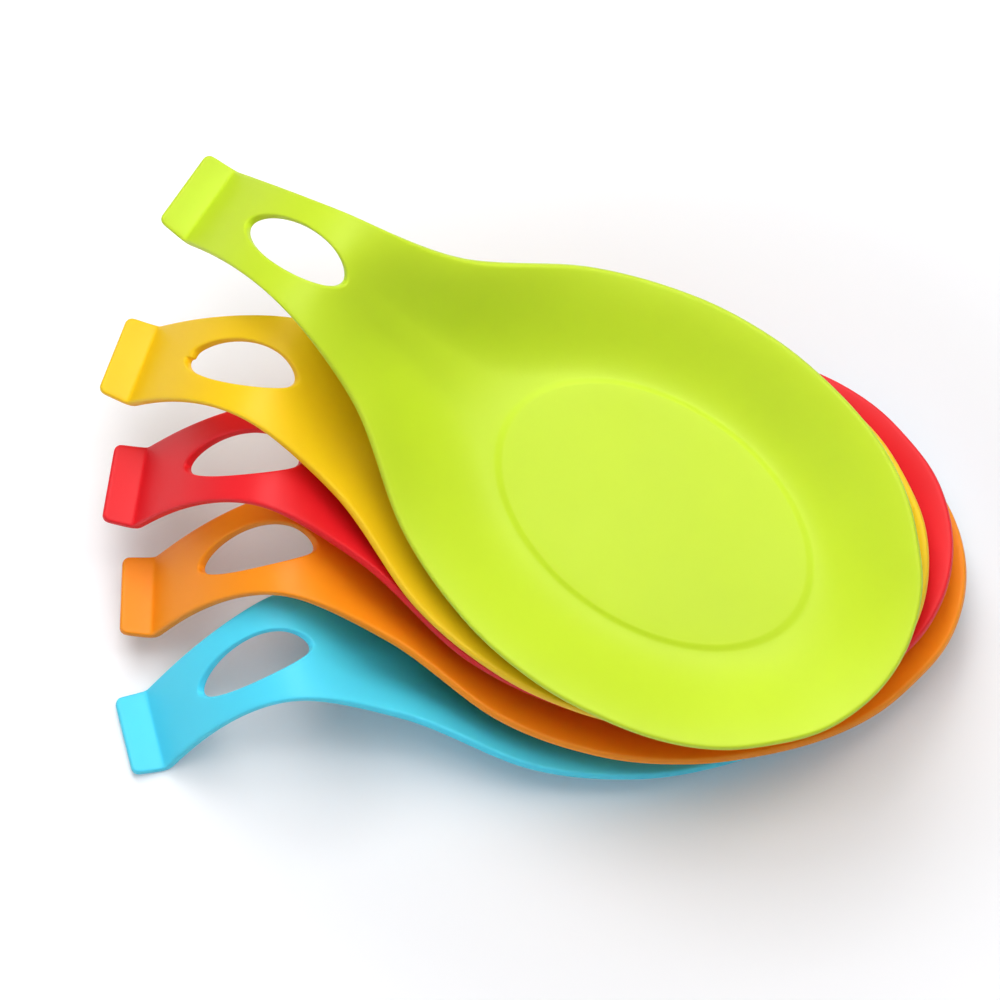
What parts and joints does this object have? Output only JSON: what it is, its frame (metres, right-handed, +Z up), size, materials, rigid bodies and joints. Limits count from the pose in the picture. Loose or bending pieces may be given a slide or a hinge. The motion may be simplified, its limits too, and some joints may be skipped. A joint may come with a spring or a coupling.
{
  "type": "spoon rest",
  "caption": "Nested stack of egg-shaped spoon rests with shallow bowls, arched handles, oval hanging holes and upturned tabs, fanned out.",
  "frame": {"origin": "centre of the lowest rest's base, on the surface that it stands on", "axes": "+X towards the lowest rest's front tip with its handle to -X, +Z up, +Y to the left of that direction"},
  "size_m": [0.1975, 0.162, 0.0907],
  "materials": {
    "blue_silicone": "satin moulded silicone",
    "orange_silicone": "satin moulded silicone",
    "red_silicone": "satin moulded silicone",
    "yellow_silicone": "satin moulded silicone",
    "green_silicone": "satin moulded silicone"
  },
  "bodies": {
    "blue_rest": {"blue_rest": "blue_silicone"},
    "orange_rest": {"orange_rest": "orange_silicone"},
    "red_rest": {"red_rest": "red_silicone"},
    "yellow_rest": {"yellow_rest": "yellow_silicone"},
    "green_rest": {"green_rest": "green_silicone"}
  },
  "joints": [
    {"name": "orange_lift", "type": "slide", "parent": "blue_rest", "child": "orange_rest", "axis": [0, 0, 1], "range_m": [0, 0.05]},
    {"name": "red_lift", "type": "slide", "parent": "orange_rest", "child": "red_rest", "axis": [0, 0, 1], "range_m": [0, 0.05]},
    {"name": "yellow_lift", "type": "slide", "parent": "red_rest", "child": "yellow_rest", "axis": [0, 0, 1], "range_m": [0, 0.05]},
    {"name": "green_lift", "type": "slide", "parent": "yellow_rest", "child": "green_rest", "axis": [0, 0, 1], "range_m": [0, 0.05]}
  ]
}
